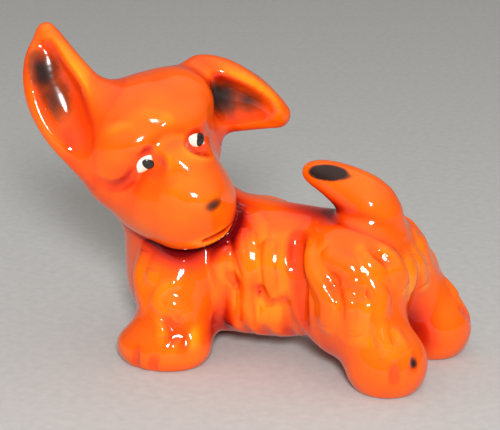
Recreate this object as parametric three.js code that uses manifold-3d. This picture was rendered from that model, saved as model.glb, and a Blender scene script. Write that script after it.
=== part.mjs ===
// Glazed pottery terrier: a hollow slip-cast body and head, with pressed ears, tail and legs luted on
// and eyes of raised enamel. The dog stands with its chest towards -X and looks back over its left
// shoulder, towards -Y. Millimetres, +Z up, the four soles on z = 0.

import * as THREE from 'three';
import { mergeVertices } from 'three/addons/utils/BufferGeometryUtils.js';
import { edgeTable, triTable } from 'three/addons/objects/MarchingCubes.js';
import Module from 'manifold-3d';

// Driving sizes of the body
const bodyLength = 80;
const bodyWidth = 30;
const backHeight = 39;

// Driving sizes of the head, how high it is carried, and how it is turned over the left shoulder
const headLength = 40;
const headWidth = 29;
const headHeight = 38;
const neckRise = 17.8;
const headTurnDegrees = 142.5;
const headNodDegrees = 1.6;
const headRollDegrees = 13.9;

// Ears, tail and legs
const earLength = 30;
const earWidth = 20;
const earThickness = 10;
const tailReach = 16;
const tailRise = 14;
const tailThickness = 15;
const legHeight = 20;
const pawLength = 25;
const pawWidth = 19;

// Eyes of raised enamel: a white almond with a black pupil on it
const eyeLength = 6;
const eyeHeight = 4;
const eyeRise = 0.8;
const pupilWidth = 2.6;
const pupilHeight = 3.3;
const pupilRise = 0.6;
const eyeDroopDegrees = 26;

// Walls, the joints between castings, the neck's pouring hole and the vent under the belly
const wall = 3;
const lutingGap = 0.3;
const enamelGap = 0.3;
const neckHole = 9;
const ventHole = 5;
const overrun = 5;

// How softly one lump of clay runs into the next
const bodyBlend = 6;
const headBlend = 4;
const earBlend = 3;
const legBlend = 4;
const tailBlend = 3;
const crispBlend = 2.2;
const edgeBlend = 0.8;

// The slit of the mouth
const mouthDepth = 3.2;
const mouthWidth = 11.5;
const mouthGape = 1.5;

// The folds combed into the coat
const foldHeight = 1.5;
const foldReach = 3.8;

// The size of the facets on each casting
const bodyFacet = 2.9;
const headFacet = 2.9;
const legFacet = 2.8;
const earFacet = 1.9;
const tailFacet = 2.4;
const hollowFacet = 7;

const wasm = await Module();
wasm.setup();

const upward = new THREE.Vector3(0, 0, 1);

// A frame is a place, three directions and three sizes. Shares of those sizes give points in it
function makeFrame(origin, axes, sizes) {
  return { origin, axes, sizes };
}

function worldAxes() {
  return [new THREE.Vector3(1, 0, 0), new THREE.Vector3(0, 1, 0), upward.clone()];
}

function pointIn(frame, placeShares) {
  const point = frame.origin.clone();
  frame.axes.forEach((axis, i) => point.addScaledVector(axis, placeShares[i] * frame.sizes[i]));
  return point;
}

// Clay is a field, below zero inside the lump and about as far from zero as the skin is, with its box
function makeClay(field, box) {
  return { field, box };
}

// An egg of clay, with its radii along the frame's axes
function egg(frame, shares) {
  const centre = pointIn(frame, shares.slice(0, 3));
  const radii = shares.slice(3).map((share, i) => share * frame.sizes[i]);
  const [a, b, c] = frame.axes;
  const [ra, rb, rc] = radii;
  const reach = Math.max(ra, rb, rc);
  const field = (x, y, z) => {
    const dx = x - centre.x;
    const dy = y - centre.y;
    const dz = z - centre.z;
    const u = (dx * a.x + dy * a.y + dz * a.z) / ra;
    const v = (dx * b.x + dy * b.y + dz * b.z) / rb;
    const w = (dx * c.x + dy * c.y + dz * c.z) / rc;
    const depth = Math.sqrt(u * u + v * v + w * w);
    const slope = Math.sqrt((u / ra) ** 2 + (v / rb) ** 2 + (w / rc) ** 2);
    return slope > 0 ? depth * (depth - 1) / slope : -Math.min(ra, rb, rc);
  };
  return makeClay(field, new THREE.Box3().expandByPoint(centre).expandByScalar(reach));
}

// A tapered roll of clay between two places, flattened along the frame's third axis by a share
function roll(frame, fromShares, toShares, radiusShares, radiusSize, flatShare = 1) {
  const from = pointIn(frame, fromShares);
  const to = pointIn(frame, toShares);
  const span = to.clone().sub(from);
  const length2 = span.lengthSq();
  const flat = frame.axes[2];
  const squeeze = 1 / flatShare ** 2 - 1;
  const [thick, thin] = radiusShares.map((share) => share * radiusSize);
  const field = (x, y, z) => {
    let dx = x - from.x;
    let dy = y - from.y;
    let dz = z - from.z;
    const along = (dx * span.x + dy * span.y + dz * span.z) / length2;
    const h = Math.min(Math.max(along, 0), 1);
    dx -= h * span.x;
    dy -= h * span.y;
    dz -= h * span.z;
    const across = dx * flat.x + dy * flat.y + dz * flat.z;
    const reach = Math.sqrt(dx * dx + dy * dy + dz * dz + across * across * squeeze);
    const lean = reach > 0 ? (across / reach) ** 2 * squeeze / flatShare ** 2 : 0;
    return (reach - thick - h * (thin - thick)) / Math.sqrt(1 + lean);
  };
  const box = new THREE.Box3().setFromPoints([from, to]).expandByScalar(Math.max(thick, thin));
  return makeClay(field, box);
}

// The lower of two fields, with a soft fillet where they meet
function soften(a, b, softness) {
  const near = Math.max(softness - Math.abs(a - b), 0) / softness;
  return Math.min(a, b) - near * near * softness / 4;
}

function melt(lumps, softness) {
  const fields = lumps.map((lump) => lump.field);
  const field = (x, y, z) => {
    let value = Infinity;
    for (let i = 0; i < fields.length; i += 1) {
      value = soften(value, fields[i](x, y, z), softness);
    }
    return value;
  };
  const box = lumps.reduce((all, lump) => all.union(lump.box), new THREE.Box3());
  return makeClay(field, box);
}

// A string of rolls through a table of places, each row a place and a radius in shares
function chain(frame, rows, radiusSize, softness, flatShare = 1) {
  const rolls = rows.slice(1).map((row, i) => {
    const radiusShares = [rows[i][3], row[3]];
    return roll(frame, rows[i].slice(0, 3), row.slice(0, 3), radiusShares, radiusSize, flatShare);
  });
  return melt(rolls, softness);
}

// Clay with a tool's shape pressed out of it
function press(clay, tool, softness) {
  const field = (x, y, z) => -soften(-clay.field(x, y, z), tool.field(x, y, z), softness);
  return makeClay(field, clay.box);
}

// A corner of a cell is numbered by a bit each for x, y and z. The tables go round the four corners of the
// lower face, then round the upper face, and then up the four posts between them
const ring = Array.from({ length: 4 }, (_, turn) => turn ^ (turn >> 1));
const upperRing = ring.map((corner) => corner + ring.length);
const corners = [...ring, ...upperRing];
const cornerBits = corners.map((_, corner) => 1 << corners.indexOf(corner));
const roundEdges = (face) => face.map((corner, turn) => [corner, face[(turn + 1) % face.length]]);
const posts = ring.map((corner, turn) => [corner, upperRing[turn]]);
const edgeEnds = [...roundEdges(ring), ...roundEdges(upperRing), ...posts].map(
  ([first, second]) => [Math.min(first, second), Math.max(first, second)],
);
const rowOfTable = triTable.length / edgeTable.length;
const edgeEndShare = 0.12;

// The field's values at the nodes of a grid that takes in the whole box
function sampleGrid(field, box, facet) {
  const low = box.min;
  const counts = box.getSize(new THREE.Vector3()).divideScalar(facet).ceil().addScalar(1);
  const values = new Float64Array(counts.x * counts.y * counts.z);
  let node = 0;
  for (let k = 0; k < counts.z; k += 1) {
    for (let j = 0; j < counts.y; j += 1) {
      for (let i = 0; i < counts.x; i += 1) {
        values[node] = field(low.x + i * facet, low.y + j * facet, low.z + k * facet);
        node += 1;
      }
    }
  }
  return { low, counts, facet, values, row: counts.x, layer: counts.x * counts.y };
}

function gridPoint(grid, node) {
  const i = node % grid.row;
  const j = Math.floor(node / grid.row) % grid.counts.y;
  const k = Math.floor(node / grid.layer);
  return new THREE.Vector3(i, j, k).multiplyScalar(grid.facet).add(grid.low);
}

// The faces of every cell that the skin passes through, as places on the grid's edges
function crossSkin(grid) {
  const places = [];
  const triangles = [];
  const placeOf = new Map();
  const steps = corners.map(
    (_, corner) => (corner & 1) + ((corner >> 1) & 1) * grid.row + (corner >> 2) * grid.layer,
  );
  const placeOn = (first, second) => {
    const key = first * grid.values.length + second;
    if (!placeOf.has(key)) {
      const share = grid.values[first] / (grid.values[first] - grid.values[second]);
      const held = THREE.MathUtils.clamp(share, edgeEndShare, 1 - edgeEndShare);
      placeOf.set(key, places.length);
      places.push(gridPoint(grid, first).lerp(gridPoint(grid, second), held));
    }
    return placeOf.get(key);
  };
  for (let k = 0; k + 1 < grid.counts.z; k += 1) {
    for (let j = 0; j + 1 < grid.counts.y; j += 1) {
      for (let i = 0; i + 1 < grid.counts.x; i += 1) {
        const node = i + j * grid.row + k * grid.layer;
        const bits = steps.map((step, corner) => (grid.values[node + step] < 0 ? cornerBits[corner] : 0));
        const sign = bits.reduce((sum, bit) => sum + bit);
        const start = sign * rowOfTable;
        for (let t = 0; edgeTable[sign] !== 0 && triTable[start + t] !== -1; t += 1) {
          const [first, second] = edgeEnds[triTable[start + t]];
          triangles.push(placeOn(node + steps[first], node + steps[second]));
        }
      }
    }
  }
  return { places, triangles };
}

function slopeAt(field, point, reach) {
  const { x, y, z } = point;
  return new THREE.Vector3(
    field(x + reach, y, z) - field(x - reach, y, z),
    field(x, y + reach, z) - field(x, y - reach, z),
    field(x, y, z + reach) - field(x, y, z - reach),
  ).divideScalar(reach + reach);
}

// Moves a place straight down the slope of the field until it lies on the skin
function settle(field, place, reach) {
  for (let pass = 0; pass < 2; pass += 1) {
    const slope = slopeAt(field, place, reach);
    place.addScaledVector(slope, -field(place.x, place.y, place.z) / slope.lengthSq());
  }
}

// The solid under the skin of some clay. A swell moves every place out by that much, so a swollen cast has
// the same facets as the plain one and stands clear of it everywhere
function cast(clay, facet, swell = 0) {
  const swollen = (x, y, z) => clay.field(x, y, z) - swell;
  const box = clay.box.clone().expandByScalar(facet + facet);
  const { places, triangles } = crossSkin(sampleGrid(clay.field, box, facet));
  const slopeReachShare = 0.05;
  places.forEach((place) => settle(swollen, place, facet * slopeReachShare));
  const vertProperties = new Float32Array(places.flatMap((place) => place.toArray()));
  const triVerts = new Uint32Array(triangles.reverse());
  return new wasm.Manifold(new wasm.Mesh({ numProp: 3, vertProperties, triVerts }));
}

// A closed three.js geometry as a solid
function solidOf(geometry) {
  const bare = geometry.clone();
  bare.deleteAttribute('normal');
  bare.deleteAttribute('uv');
  const merged = mergeVertices(bare);
  const vertProperties = new Float32Array(merged.attributes.position.array);
  const triVerts = new Uint32Array(merged.index.array);
  return new wasm.Manifold(new wasm.Mesh({ numProp: 3, vertProperties, triVerts }));
}

// The largest piece of a solid, without any crumbs that a cut leaves beside it
function mainPiece(solid) {
  return solid.decompose().reduce((best, piece) => (piece.volume() > best.volume() ? piece : best));
}

function geometryOf(solid) {
  const mesh = solid.getMesh();
  const geometry = new THREE.BufferGeometry();
  geometry.setAttribute('position', new THREE.BufferAttribute(mesh.vertProperties, mesh.numProp));
  geometry.setIndex(new THREE.BufferAttribute(mesh.triVerts, 1));
  geometry.computeVertexNormals();
  return geometry;
}

// A round hole between two points
function drill(from, to, width) {
  const span = to.clone().sub(from);
  const middle = from.clone().add(to).divideScalar(2);
  const holeSides = 24;
  const rod = new THREE.CylinderGeometry(width / 2, width / 2, span.length(), holeSides);
  const standing = new THREE.Vector3(0, 1, 0);
  rod.applyQuaternion(new THREE.Quaternion().setFromUnitVectors(standing, span.normalize()));
  return solidOf(rod.translate(middle.x, middle.y, middle.z));
}

// The ground under the figure, which flattens the soles
function groundUnder(box) {
  const size = box.getSize(new THREE.Vector3()).addScalar(overrun + overrun);
  const middle = box.getCenter(new THREE.Vector3());
  const slab = new THREE.BoxGeometry(size.x, size.y, size.z);
  return solidOf(slab.translate(middle.x, middle.y, -size.z / 2));
}

// BODY
// The body's frame stands on the ground under the middle of the back
const bodyFrame = makeFrame(new THREE.Vector3(), worldAxes(), [bodyLength, bodyWidth, backHeight]);

// Lumps of the trunk: chest, brisket, ribs, loin, rump and the long hair under the belly
const trunkShares = [
  [-0.275, 0, 0.56, 0.194, 0.467, 0.436],
  [-0.262, 0, 0.333, 0.175, 0.433, 0.282],
  [-0.075, 0, 0.615, 0.25, 0.45, 0.385],
  [0.15, 0, 0.628, 0.2125, 0.433, 0.346],
  [0.319, 0, 0.641, 0.1625, 0.433, 0.333],
  [0, 0, 0.295, 0.25, 0.367, 0.18],
];

// Shoulders and haunches, near side then far side
const quarterShares = [
  [-0.2375, -0.3, 0.46, 0.1125, 0.267, 0.333],
  [-0.2375, 0.3, 0.46, 0.1125, 0.267, 0.333],
  [0.3125, -0.3, 0.538, 0.1625, 0.317, 0.423],
  [0.344, 0.283, 0.538, 0.144, 0.3, 0.385],
];

// The neck leans forward out of the chest and carries the head
const neckShares = [
  [-0.2625, 0, 0.77, 0.45],
  [-0.3875, -0.167, 1.28, 0.383],
];
const ruffShares = [-0.4125, -0.233, 1.128, 0.1, 0.3, 0.308];

function makePlainBody() {
  const trunk = melt(trunkShares.map((shares) => egg(bodyFrame, shares)), bodyBlend);
  const quarters = quarterShares.map((shares) => egg(bodyFrame, shares));
  const neck = chain(bodyFrame, neckShares, bodyWidth, bodyBlend);
  return melt([trunk, ...quarters, melt([neck, egg(bodyFrame, ruffShares)], bodyBlend)], bodyBlend);
}

// Folds of the coat down the near flank, over the haunch, on the rump and on the chest: how far each is
// raised, or sunk where it is below zero, and the places that it runs through
const foldShares = [
  [0.8, [[-0.083, -0.404, 0.782], [-0.083, -0.447, 0.669], [-0.072, -0.441, 0.518], [-0.076, -0.384, 0.333]]],
  [1, [[-0.031, -0.321, 0.885], [-0.011, -0.411, 0.756], [0.009, -0.441, 0.628], [-0.008, -0.361, 0.282]]],
  [0.8, [[0.064, -0.354, 0.831], [0.077, -0.431, 0.692], [0.087, -0.431, 0.526], [0.079, -0.377, 0.333]]],
  [-1, [[0.156, -0.347, 0.854], [0.167, -0.444, 0.764], [0.187, -0.507, 0.651], [0.193, -0.487, 0.367]]],
  [0.9, [[0.218, -0.484, 0.795], [0.254, -0.581, 0.679], [0.282, -0.627, 0.567], [0.286, -0.621, 0.408]]],
  [1, [[0.292, -0.534, 0.821], [0.342, -0.554, 0.785], [0.367, -0.607, 0.667], [0.362, -0.664, 0.385]]],
  [1, [[0.382, -0.454, 0.872], [0.411, -0.507, 0.764], [0.446, -0.567, 0.497], [0.479, -0.627, 0.349]]],
  [0.8, [[0.436, -0.331, 0.851], [0.466, -0.311, 0.744], [0.483, -0.277, 0.626]]],
  [0.7, [[0.472, 0.033, 0.772], [0.487, 0.073, 0.662], [0.493, 0.116, 0.546]]],
  [0.7, [[-0.326, -0.521, 0.7], [-0.333, -0.581, 0.531], [-0.299, -0.694, 0.392]]],
];

// Each fold on its own side and mirrored on the other
function makeFolds() {
  const sides = [1, -1];
  return foldShares.flatMap(([liftShare, placesShares]) => sides.map((side) => {
    const places = placesShares.map(([x, y, z]) => pointIn(bodyFrame, [x, y * side, z]));
    const box = new THREE.Box3().setFromPoints(places).expandByScalar(foldReach);
    return { lift: liftShare * foldHeight, places, box };
  }));
}

// How near a point is to a line of places, and how far along the line, from 0 to 1
function nearestOn(places, point) {
  const best = { distance: Infinity, along: 0 };
  for (let i = 1; i < places.length; i += 1) {
    const stretch = new THREE.Line3(places[i - 1], places[i]);
    const share = stretch.closestPointToPointParameter(point, true);
    const distance = stretch.at(share, new THREE.Vector3()).distanceTo(point);
    if (distance < best.distance) {
      best.distance = distance;
      best.along = (i - 1 + share) / (places.length - 1);
    }
  }
  return best;
}

// How far the folds push the skin out at a point: the highest ridge less the deepest crease. A fold fades
// to nothing at its reach, and runs out towards its two ends
function reliefAt(folds, point) {
  const endShare = 0.3;
  let ridge = 0;
  let crease = 0;
  folds.filter((fold) => fold.box.containsPoint(point)).forEach((fold) => {
    const { distance, along } = nearestOn(fold.places, point);
    const fade = Math.max(1 - (distance / foldReach) ** 2, 0) ** 2;
    const push = fold.lift * fade * (endShare + (1 - endShare) * Math.sin(Math.PI * along) ** 0.7);
    ridge = Math.max(ridge, push);
    crease = Math.min(crease, push);
  });
  return ridge + crease;
}

function comb(clay, folds) {
  const point = new THREE.Vector3();
  const field = (x, y, z) => clay.field(x, y, z) - reliefAt(folds, point.set(x, y, z));
  return makeClay(field, clay.box);
}

// HEAD
// The head's frame looks forward, to the dog's left and up, after it is rolled, nodded and turned
function makeHeadFrame() {
  const forward = new THREE.Vector3(-1, 0, 0);
  const left = new THREE.Vector3(0, -1, 0);
  const turned = new THREE.Quaternion()
    .setFromAxisAngle(upward, THREE.MathUtils.degToRad(headTurnDegrees))
    .multiply(new THREE.Quaternion().setFromAxisAngle(left, THREE.MathUtils.degToRad(headNodDegrees)))
    .multiply(new THREE.Quaternion().setFromAxisAngle(forward, THREE.MathUtils.degToRad(headRollDegrees)));
  const axes = [forward, left, upward].map((axis) => axis.clone().applyQuaternion(turned));
  const headPlaceShares = [-0.34, -0.267, 1];
  const origin = pointIn(bodyFrame, headPlaceShares).addScaledVector(upward, neckRise);
  return makeFrame(origin, axes, [headLength, headWidth, headHeight]);
}

const headFrame = makeHeadFrame();

// Skull, face, crown over each ear and forehead; muzzle, beard, bridge and tip of the nose; cheeks and
// right jowl; brows and the bulge beside the right eye
const skullShares = [
  [0, 0, 0, 0.3625, 0.5, 0.342],
  [0.125, -0.017, -0.21, 0.275, 0.359, 0.29],
  [-0.08, -0.25, 0.11, 0.24, 0.26, 0.2],
  [0, 0.3, 0.1, 0.24, 0.27, 0.2],
  [0.08, -0.06, 0.06, 0.22, 0.4, 0.2],
];
const muzzleShares = [
  [0.225, -0.034, -0.382, 0.375, 0.414, 0.329],
  [0.35, -0.034, -0.474, 0.2875, 0.372, 0.263],
  [0.35, 0, -0.2, 0.225, 0.224, 0.184],
  [0.49, -0.05, -0.33, 0.15, 0.22, 0.12],
];
const cheekShares = [
  [0, -0.414, -0.184, 0.2, 0.276, 0.263],
  [-0.025, 0.345, -0.22, 0.2, 0.24, 0.263],
  [0.1, -0.28, -0.4, 0.27, 0.25, 0.24],
];
const browShares = [
  [0.235, -0.3, 0.05, 0.1, 0.2, 0.085],
  [0.265, 0.125, 0.06, 0.1, 0.19, 0.08],
  [0.11, -0.41, -0.045, 0.15, 0.17, 0.16],
];
const socketShares = [
  [0.405, -0.305, -0.07, 0.06, 0.12, 0.065],
  [0.43, 0.155, -0.039, 0.06, 0.13, 0.07],
];
const jawCutShares = [0.2, 0, -1.666, 2, 2, 1];

function makeHead() {
  const lumps = [...skullShares, ...muzzleShares, ...cheekShares, ...browShares];
  let head = melt(lumps.map((shares) => egg(headFrame, shares)), headBlend);
  head = press(head, egg(headFrame, jawCutShares), crispBlend);
  socketShares.forEach((shares) => {
    head = press(head, egg(headFrame, shares), crispBlend);
  });
  return head;
}

// EARS
// An ear's frame runs along it, across it and out of its bowl
function makeEarFrame(rootShares, alongShares, facingShares) {
  const turn = (shares) => {
    const direction = new THREE.Vector3();
    headFrame.axes.forEach((axis, i) => direction.addScaledVector(axis, shares[i]));
    return direction.normalize();
  };
  const along = turn(alongShares);
  const across = turn(facingShares).cross(along).normalize();
  const facing = along.clone().cross(across);
  const root = pointIn(headFrame, rootShares);
  return makeFrame(root, [along, across, facing], [earLength, earWidth, earThickness]);
}

const ears = [
  {
    name: 'right_ear',
    frame: makeEarFrame([-0.075, -0.6, 0.026], [-0.5, 0.1, 1], [1, -0.15, 0.25]),
    leafShares: [
      [0, -0.12, -0.1, 0.4],
      [0.22, -0.02, 0, 0.44],
      [0.45, 0.04, 0, 0.41],
      [0.66, 0.05, 0, 0.31],
      [0.82, 0.025, 0, 0.2],
      [0.95, -0.02, 0, 0.1],
    ],
    rimShares: [
      [0.1, -0.5, 0.05, 0.2],
      [0.26, -0.36, 0.15, 0.2],
      [0.45, -0.24, 0.18, 0.18],
      [0.7, -0.12, 0.16, 0.13],
      [0.95, -0.02, 0.05, 0.09],
    ],
    bowlShares: [
      [0, 0, 0.6, 0.26],
      [0.25, 0.09, 0.45, 0.25],
      [0.45, 0.12, 0.42, 0.23],
      [0.62, 0.13, 0.4, 0.17],
      [0.78, 0.1, 0.36, 0.1],
    ],
  },
  {
    name: 'left_ear',
    frame: makeEarFrame([-0.075, 0.414, 0.04], [0.35, 1, -0.52], [1, 0.1, 0.15]),
    leafShares: [
      [0.16, 0.1, 0, 0.44],
      [0.33, 0.11, 0, 0.42],
      [0.51, 0.1, 0, 0.34],
      [0.67, 0.05, 0, 0.23],
      [0.8, 0, 0, 0.13],
    ],
    rimShares: [[0.06, 0.4, 0, 0.17], [0.22, 0.4, 0.15, 0.17], [0.4, 0.34, 0.26, 0.15], [0.7, 0.14, 0.2, 0.1]],
    bowlShares: [[0.08, 0.03, 0.55, 0.26], [0.3, 0.04, 0.5, 0.25], [0.48, 0.04, 0.46, 0.19], [0.63, 0.02, 0.42, 0.11]],
  },
];
const leafFlatShare = 0.42;
const bowlFlatShare = 0.75;

// A leaf of clay with a thick rolled edge and a bowl pressed into its face
function makeEar(ear) {
  const leaf = chain(ear.frame, ear.leafShares, earWidth, edgeBlend, leafFlatShare);
  const rim = chain(ear.frame, ear.rimShares, earWidth, edgeBlend);
  const bowl = chain(ear.frame, ear.bowlShares, earWidth, edgeBlend, bowlFlatShare);
  return press(melt([leaf, rim], crispBlend), bowl, crispBlend);
}

// TAIL
// The tail stands up from the rump and bends forward to a blunt end
const tailRootShares = [0.35, 0, 0.872];
const tailShares = [
  [0, 0, 0, 0.507],
  [-0.06, -0.067, 0.5, 0.385],
  [-0.4, -0.067, 0.76, 0.3],
  [-0.74, -0.067, 0.92, 0.205],
  [-1.01, -0.067, 0.98, 0.12],
];

function makeTail() {
  const root = pointIn(bodyFrame, tailRootShares);
  const frame = makeFrame(root, worldAxes(), [tailReach, tailThickness, tailRise]);
  return chain(frame, tailShares, tailThickness, crispBlend);
}

// LEGS
const foreKind = { pawShares: [-0.03, 0, 0.18, 0.47, 0.5, 0.34], shinShare: 0.5 };
const hindKind = { pawShares: [0, 0, 0.3, 0.37, 0.46, 0.42], shinShare: 0.45 };

// Each leg: the paw's place under the body, then the shin's foot and root in shares of paw and leg
const legs = [
  {
    name: 'front_left_leg',
    kind: foreKind,
    pawPlaceShares: [-0.245, -0.583],
    footShares: [0.05, 0.13, 0.45],
    rootShares: [0.05, 0.31, 1],
  },
  {
    name: 'front_right_leg',
    kind: foreKind,
    pawPlaceShares: [-0.265, 0.5],
    footShares: [0.14, -0.05, 0.45],
    rootShares: [0.13, -0.2, 1],
  },
  {
    name: 'hind_left_leg',
    kind: hindKind,
    pawPlaceShares: [0.45, -0.417],
    footShares: [-0.02, 0.03, 0.35],
    rootShares: [-0.28, 0.08, 0.9],
  },
  {
    name: 'hind_right_leg',
    kind: hindKind,
    pawPlaceShares: [0.4875, 0.467],
    footShares: [-0.02, 0, 0.4],
    rootShares: [-0.24, -0.16, 0.9],
  },
];

function makeLeg(leg) {
  const { pawShares, shinShare } = leg.kind;
  const place = pointIn(bodyFrame, [...leg.pawPlaceShares, 0]);
  const frame = makeFrame(place, worldAxes(), [pawLength, pawWidth, legHeight]);
  const shinRows = [[...leg.rootShares, shinShare], [...leg.footShares, shinShare]];
  const shin = chain(frame, shinRows, pawWidth, legBlend);
  return comb(melt([shin, egg(frame, pawShares)], legBlend), folds);
}

// CASTINGS
const skirtShare = 0.28;

// A piece luted onto another: a fillet runs down to the joint, and the luting gap parts the two
function seatOn(piece, base, softness, facet, seat) {
  const skirt = softness * skirtShare;
  const field = (x, y, z) => {
    const own = piece.field(x, y, z);
    return Math.max(soften(own, base.field(x, y, z), softness), own - skirt);
  };
  const filleted = makeClay(field, piece.box.clone().expandByScalar(skirt));
  return mainPiece(cast(filleted, facet).subtract(seat));
}

const plainBody = makePlainBody();
const folds = makeFolds();
const body = comb(plainBody, folds);
const head = makeHead();
const tail = makeTail();
const ground = groundUnder(body.box);

// The seats are the skins of the body and head, swollen by the luting gap
const bodySeat = cast(body, bodyFacet, lutingGap);
const headSeat = cast(head, headFacet, lutingGap);

// The hollow that the slip is poured out of leaves an even wall, also under the head's seat
function hollowOf(clay, keepOff) {
  const field = (x, y, z) => Math.max(clay.field(x, y, z), -keepOff(x, y, z)) + wall;
  return cast(makeClay(field, clay.box), hollowFacet);
}

const [neckFoot, neckTop] = neckShares.map((row) => pointIn(bodyFrame, row));
const pouringHole = drill(neckFoot, neckTop, neckHole);

function makeTorsoSolid() {
  const hollow = hollowOf(plainBody, head.field);
  const ventTop = neckFoot.clone().setX(0).setZ(backHeight / 2);
  const ventFoot = ventTop.clone().setZ(-overrun);
  return cast(body, bodyFacet)
    .subtract(ground)
    .subtract(headSeat)
    .subtract(hollow)
    .subtract(pouringHole)
    .subtract(drill(ventFoot, ventTop, ventHole));
}

function makeHeadSolid() {
  const open = () => -Infinity;
  return cast(head, headFacet).subtract(hollowOf(head, open)).subtract(pouringHole);
}

function makeLegSolid(leg) {
  return seatOn(makeLeg(leg), body, legBlend, legFacet, bodySeat).subtract(headSeat).subtract(ground);
}

// EYES
// An eye's frame lies on the head's skin: out of the skin, along the almond and up
function makeEyeFrame(eye) {
  const start = pointIn(headFrame, eye.placeShares);
  const forward = headFrame.axes[0];
  const halvings = 40;
  let low = 0;
  let high = headLength;
  for (let halving = 0; halving < halvings; halving += 1) {
    const middle = (low + high) / 2;
    const probe = start.clone().addScaledVector(forward, middle);
    if (head.field(probe.x, probe.y, probe.z) < 0) {
      low = middle;
    } else {
      high = middle;
    }
  }
  const origin = start.clone().addScaledVector(forward, low);
  const out = slopeAt(head.field, origin, eyeRise).normalize();
  const along = upward.clone().cross(out).normalize();
  const droop = THREE.MathUtils.degToRad(eye.droop * eyeDroopDegrees);
  along.applyQuaternion(new THREE.Quaternion().setFromAxisAngle(out, droop));
  return makeFrame(origin, [out, along, out.clone().cross(along)], [eyeRise, eyeLength, eyeHeight]);
}

// A lens, fat in the middle and as thick behind its place as it stands proud of it
function lens(frame, placeShares, rise, width, height, swell = 0) {
  const middle = pointIn(frame, placeShares);
  const rings = 6;
  const sides = 14;
  const ball = new THREE.SphereGeometry(1, sides, rings);
  ball.scale(rise + swell, width / 2 + swell, height / 2 + swell);
  ball.applyMatrix4(new THREE.Matrix4().makeBasis(...frame.axes).setPosition(middle));
  return solidOf(ball);
}

// Both pupils look to the dog's left, as its head does
const eyes = [
  { side: 'right', placeShares: [0, -0.314, -0.076], droop: 1.8, pupilShares: [0.6, 0.15, 0.06] },
  { side: 'left', placeShares: [0, 0.155, -0.039], droop: -1, pupilShares: [0.6, 0.13, 0.06] },
];

// COLOURS
const glaze = { color: '#f2620c', roughness: 0.12, metalness: 0 };
const whiteEnamel = { color: '#f1ece0', roughness: 0.3, metalness: 0 };
const blackEnamel = { color: '#16130f', roughness: 0.25, metalness: 0 };

function makeMesh(name, solid, finish) {
  const mesh = new THREE.Mesh(geometryOf(solid), new THREE.MeshStandardMaterial(finish));
  mesh.name = name;
  return mesh;
}

const figure = new THREE.Group();
figure.add(makeMesh('torso', mainPiece(makeTorsoSolid()), glaze));
legs.forEach((leg) => figure.add(makeMesh(leg.name, mainPiece(makeLegSolid(leg)), glaze)));
figure.add(makeMesh('tail', seatOn(tail, body, tailBlend, tailFacet, bodySeat), glaze));
ears.forEach((ear) => {
  figure.add(makeMesh(ear.name, seatOn(makeEar(ear), head, earBlend, earFacet, headSeat), glaze));
});

const mouthPlaceShares = [0.62, 0.06, -0.59];
const mouth = lens(headFrame, mouthPlaceShares, mouthDepth, mouthWidth, mouthGape);
let headSolid = makeHeadSolid().subtract(mouth);
eyes.forEach((eye) => {
  const frame = makeEyeFrame(eye);
  const centreShares = [0, 0, 0];
  const pupil = lens(frame, eye.pupilShares, pupilRise, pupilWidth, pupilHeight);
  const pupilSeat = lens(frame, eye.pupilShares, pupilRise, pupilWidth, pupilHeight, enamelGap);
  const white = lens(frame, centreShares, eyeRise, eyeLength, eyeHeight).subtract(pupilSeat);
  const socket = lens(frame, centreShares, eyeRise, eyeLength, eyeHeight, enamelGap);
  headSolid = headSolid.subtract(socket).subtract(pupilSeat);
  figure.add(makeMesh(`${eye.side}_eye_white`, mainPiece(white), whiteEnamel));
  figure.add(makeMesh(`${eye.side}_pupil`, pupil, blackEnamel));
});
figure.add(makeMesh('head', mainPiece(headSolid), glaze));

// The origin lies on the ground under the middle of the figure's box
const middle = new THREE.Box3().setFromObject(figure).getCenter(new THREE.Vector3());
figure.children.forEach((mesh) => mesh.geometry.translate(-middle.x, -middle.y, 0));

export default figure;
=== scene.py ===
# %% [markdown]
# # A glazed pottery terrier
#
# The real figurine is cast in clay, luted together from a few pieces, glazed a glossy orange and sprayed
# with black on the ears, the nose and the tail. This lesson models it the way a potter would: rough
# lumps are pressed together, the skin is smoothed over them, locks of hair are drawn into it, and then
# it is glazed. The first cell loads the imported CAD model, which fixes the size and place of every piece.

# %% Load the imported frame
import math

import bmesh
import bpy
import numpy as np
from mathutils import Matrix, Vector


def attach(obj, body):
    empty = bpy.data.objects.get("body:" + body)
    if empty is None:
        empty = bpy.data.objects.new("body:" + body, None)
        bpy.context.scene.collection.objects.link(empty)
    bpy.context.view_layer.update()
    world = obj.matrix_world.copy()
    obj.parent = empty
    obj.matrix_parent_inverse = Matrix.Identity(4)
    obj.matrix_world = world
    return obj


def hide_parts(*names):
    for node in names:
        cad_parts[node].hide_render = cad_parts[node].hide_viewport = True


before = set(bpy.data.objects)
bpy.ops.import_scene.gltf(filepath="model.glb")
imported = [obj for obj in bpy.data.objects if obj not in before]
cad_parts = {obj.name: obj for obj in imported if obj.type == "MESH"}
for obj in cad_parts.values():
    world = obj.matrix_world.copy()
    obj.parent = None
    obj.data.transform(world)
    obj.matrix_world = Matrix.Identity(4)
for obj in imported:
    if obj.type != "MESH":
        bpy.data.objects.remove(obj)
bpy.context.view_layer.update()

print("CAD nodes", sorted(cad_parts))

# %% [markdown]
# ## Sizes
#
# The dog is described on jigs. A jig is a place, three directions and three sizes, and the tables below
# give every lump in shares of a jig's sizes. A table then reads like a proportion chart: a head twice
# as long keeps the same face. The body's jig stands on the ground, under the middle of the back.

# %% Jigs
MM = 0.001
TINY = 1e-9
BODY_SIZES = [80 * MM, 30 * MM, 39 * MM]
MIDDLE = np.array([-2.751, -1.148, 0]) * MM


def make_jig(origin, directions, sizes):
    return {
        "origin": np.array(origin, float),
        "directions": np.array(directions, float),
        "sizes": np.array(sizes, float),
    }


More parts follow.
